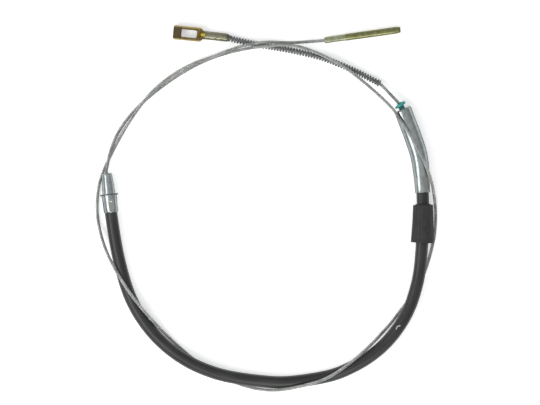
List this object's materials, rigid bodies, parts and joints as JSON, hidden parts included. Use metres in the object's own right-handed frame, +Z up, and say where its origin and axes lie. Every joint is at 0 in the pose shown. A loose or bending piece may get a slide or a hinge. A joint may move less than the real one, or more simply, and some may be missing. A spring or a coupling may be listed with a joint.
{
  "type": "parking brake cable",
  "caption": "Coiled parking brake cable: steel wire rope with a threaded rod and a slotted eye, led through a sheathed conduit with a ferrule and a bent guide tube.",
  "frame": {"origin": "centre of the bounding box, at the surface that the cable lies on", "axes": "+Z up from the surface; the loop lies in the X-Y plane, with the threaded rod and the eye at its +Y side"},
  "size_m": [0.2561, 0.2749, 0.0172],
  "materials": {
    "wire_rope": "bright stranded steel wire",
    "yellow_chromate": "olive-gold chromate on steel",
    "zinc_plate": "blue-white zinc plate, semi-bright",
    "spring_steel": "dark oiled spring steel",
    "armour_steel": "plain wound steel",
    "black_sheath": "semi-gloss black plastic",
    "black_rubber": "matt moulded rubber",
    "liner_plastic": "natural plastic",
    "teal_plastic": "teal moulded plastic"
  },
  "bodies": {
    "root": {"inner_wire_rope": "wire_rope", "threaded_rod_end": "yellow_chromate", "conduit_liner": "liner_plastic", "conduit_armour": "armour_steel", "conduit_jacket": "black_sheath", "front_ferrule": "zinc_plate", "rubber_sleeve": "black_rubber", "rear_guide_tube": "zinc_plate", "rear_seal": "teal_plastic", "return_spring": "spring_steel", "eye_end": "yellow_chromate"}
  },
  "joints": []
}
